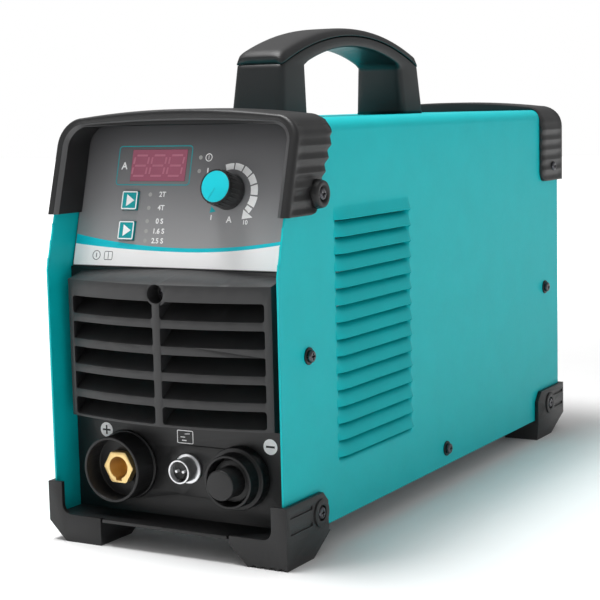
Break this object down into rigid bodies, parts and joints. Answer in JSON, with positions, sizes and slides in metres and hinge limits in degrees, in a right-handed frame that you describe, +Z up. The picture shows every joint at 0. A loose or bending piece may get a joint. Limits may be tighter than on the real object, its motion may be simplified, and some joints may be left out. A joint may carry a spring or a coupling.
{
  "type": "inverter welding power source",
  "caption": "Portable TIG inverter welding machine: folded louvred cover, bowed front grille, slanted control panel, front sockets, rubber guards and a top handle.",
  "frame": {"origin": "on the floor under the middle of the whole machine, midway along it and midway across it", "axes": "+Z up, +X to the right seen from the front, front faces -Y"},
  "size_m": [0.174, 0.4532, 0.3085],
  "materials": {
    "turquoise_paint": "satin",
    "black_paint": "satin",
    "zinc_steel": "satin",
    "dark_steel": "satin",
    "black_plastic": "matte",
    "black_rubber": "matte",
    "label_film": "gloss",
    "tinted_window": "gloss",
    "display_grey": "matte",
    "led_lens": "gloss",
    "teal_plastic": "satin",
    "cyan_plastic": "satin",
    "circuit_board": "satin",
    "nylon": "matte",
    "aluminium": "satin",
    "brass": "polished",
    "chrome": "polished",
    "red_plastic": "satin",
    "clear_hose": "satin",
    "capacitor_sleeve": "gloss",
    "ferrite": "matte",
    "copper_wire": "gloss",
    "potting": "satin",
    "copper": "satin"
  },
  "bodies": {
    "housing": {"cover": "turquoise_paint", "base_tray": "zinc_steel", "front_panel": "black_plastic", "air_grille": "black_plastic", "control_label": "label_film", "display_window": "tinted_window", "display_module": "display_grey", "status_leds": "led_lens", "tact_switches": "black_plastic", "control_board": "circuit_board", "board_spacers": "nylon", "potentiometer": "zinc_steel", "front_guard": "black_rubber", "rear_guard": "black_rubber", "front_foot_right": "black_rubber", "front_foot_left": "black_rubber", "rear_foot_right": "black_rubber", "rear_foot_left": "black_rubber", "panel_screws": "dark_steel", "screw_washers": "black_rubber", "clip_nuts": "zinc_steel", "handle_frame": "black_plastic", "handle_grip": "black_rubber", "plus_socket_body": "black_plastic", "plus_socket_insert": "brass", "torch_outlet_body": "black_plastic", "torch_outlet_insert": "brass", "panel_nuts": "nylon", "connector_shell": "chrome", "connector_insulator": "black_plastic", "connector_pins": "chrome", "rear_panel": "black_paint", "fan_frame": "black_plastic", "fan_guard": "chrome", "fan_screws": "dark_steel", "switch_housing": "black_plastic", "cable_gland": "black_plastic", "gas_inlet": "brass", "gas_valve": "brass", "gas_hose": "clear_hose", "earth_stud": "zinc_steel", "power_board": "circuit_board", "board_pillars": "zinc_steel", "heat_sinks": "aluminium", "power_modules": "black_plastic", "bulk_capacitors": "capacitor_sleeve", "transformer_core": "ferrite", "transformer_winding": "copper_wire", "choke_core": "ferrite", "choke_winding": "copper_wire", "hf_coil": "potting", "bus_strips": "copper"},
    "current_knob_body": {"current_knob": "black_plastic", "knob_cap": "cyan_plastic", "knob_shaft": "aluminium"},
    "mode_button": {"mode_button": "teal_plastic"},
    "cycle_button": {"cycle_button": "teal_plastic"},
    "outlet_cap": {"outlet_cap": "black_rubber"},
    "fan_rotor": {"fan_rotor": "black_plastic"},
    "switch_rocker": {"switch_rocker": "red_plastic"}
  },
  "joints": [
    {"name": "current_knob_turn", "type": "hinge", "parent": "housing", "child": "current_knob_body", "pos_m": [0.0283, -0.18959, 0.20903], "axis": [0, 0.9654, -0.2607], "range_deg": [0, 300]},
    {"name": "mode_button_press", "type": "slide", "parent": "housing", "child": "mode_button", "axis": [0, 0.9654, -0.2607], "range_m": [0, 0.0008], "stiffness_N_per_m": 1200, "springref_m": -0.0008},
    {"name": "cycle_button_press", "type": "slide", "parent": "housing", "child": "cycle_button", "axis": [0, 0.9654, -0.2607], "range_m": [0, 0.0008], "stiffness_N_per_m": 1200, "springref_m": -0.0008},
    {"name": "outlet_cap_pull", "type": "slide", "parent": "housing", "child": "outlet_cap", "axis": [0, -1, 0], "range_m": [0, 0.03]},
    {"name": "fan_spin", "type": "hinge", "parent": "housing", "child": "fan_rotor", "pos_m": [0, 0.1866, 0.092], "axis": [0, 1, 0], "continuous": true},
    {"name": "mains_switch_rock", "type": "hinge", "parent": "housing", "child": "switch_rocker", "pos_m": [0.038, 0.2026, 0.203], "axis": [1, 0, 0], "range_deg": [0, 24]}
  ]
}
